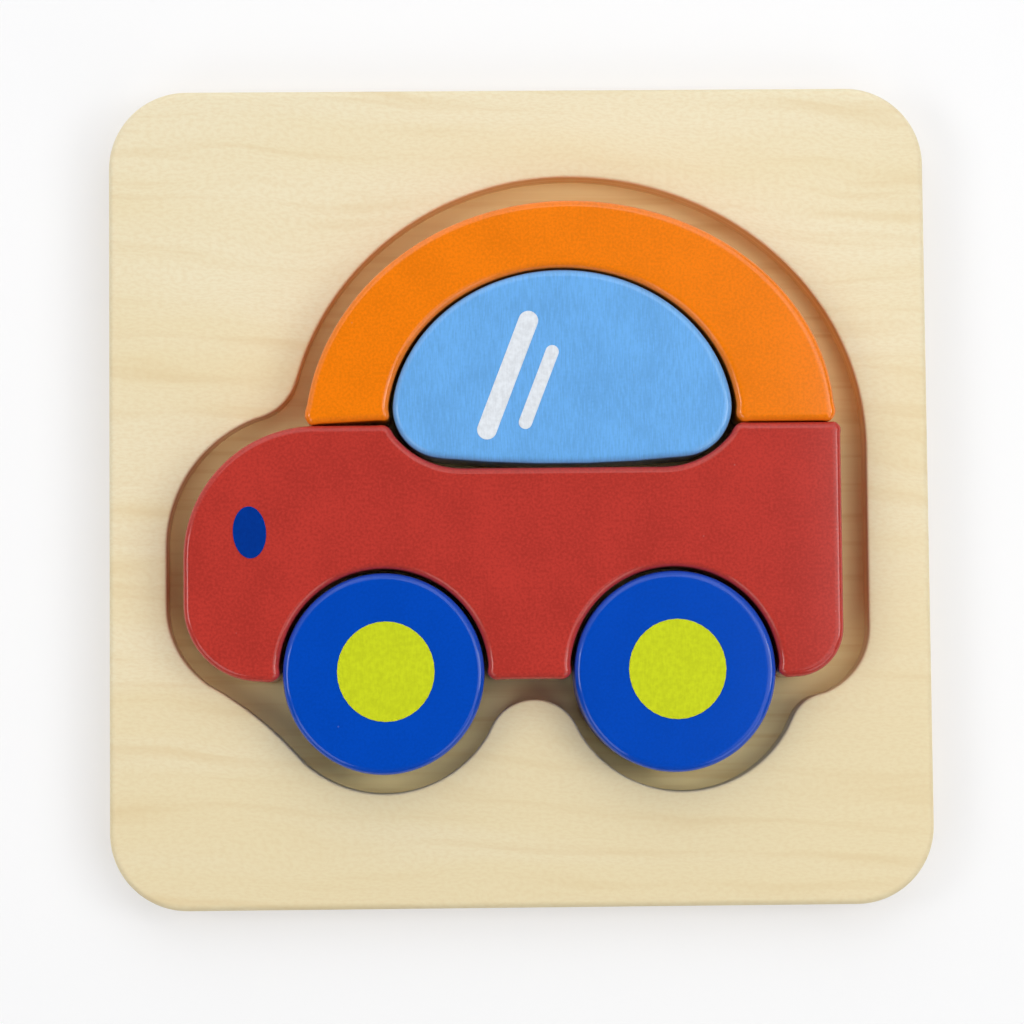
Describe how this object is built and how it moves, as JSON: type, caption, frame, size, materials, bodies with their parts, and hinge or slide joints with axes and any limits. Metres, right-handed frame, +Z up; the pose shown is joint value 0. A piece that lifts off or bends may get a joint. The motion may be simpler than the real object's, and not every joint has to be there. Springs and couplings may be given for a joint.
{
  "type": "inset puzzle",
  "caption": "Square plywood tray with a car-shaped pocket that holds chunky painted wooden blocks, which lift out to be put back.",
  "frame": {"origin": "middle of the tray's underside", "axes": "+Z up out of the tray, +X from the car's nose to its tail, +Y from its wheels to its roof"},
  "size_m": [0.15, 0.15, 0.0181],
  "materials": {
    "base_veneer": "bare plywood, sanded",
    "face_veneer": "bare plywood, sanded, clear matt lacquer",
    "red_paint": "satin paint on solid wood",
    "orange_paint": "satin paint on solid wood",
    "sky_blue_paint": "satin paint on solid wood",
    "blue_paint": "satin paint on solid wood",
    "lime_ink": "screen-printed ink film",
    "navy_ink": "screen-printed ink film",
    "white_ink": "screen-printed ink film"
  },
  "bodies": {
    "tray": {"tray_base": "base_veneer", "tray_frame": "face_veneer"},
    "body_block": {"car_body": "red_paint", "headlight_print": "navy_ink"},
    "roof_block": {"roof": "orange_paint"},
    "window_block": {"window": "sky_blue_paint", "long_glare_print": "white_ink", "short_glare_print": "white_ink"},
    "front_wheel_block": {"front_wheel": "blue_paint", "front_hub_print": "lime_ink"},
    "rear_wheel_block": {"rear_wheel": "blue_paint", "rear_hub_print": "lime_ink"}
  },
  "joints": [
    {"name": "body_lift", "type": "slide", "parent": "tray", "child": "body_block", "axis": [0, 0, 1], "range_m": [0, 0.03]},
    {"name": "roof_lift", "type": "slide", "parent": "tray", "child": "roof_block", "axis": [0, 0, 1], "range_m": [0, 0.03]},
    {"name": "window_lift", "type": "slide", "parent": "tray", "child": "window_block", "axis": [0, 0, 1], "range_m": [0, 0.03]},
    {"name": "front_wheel_lift", "type": "slide", "parent": "tray", "child": "front_wheel_block", "axis": [0, 0, 1], "range_m": [0, 0.03]},
    {"name": "rear_wheel_lift", "type": "slide", "parent": "tray", "child": "rear_wheel_block", "axis": [0, 0, 1], "range_m": [0, 0.03]}
  ]
}
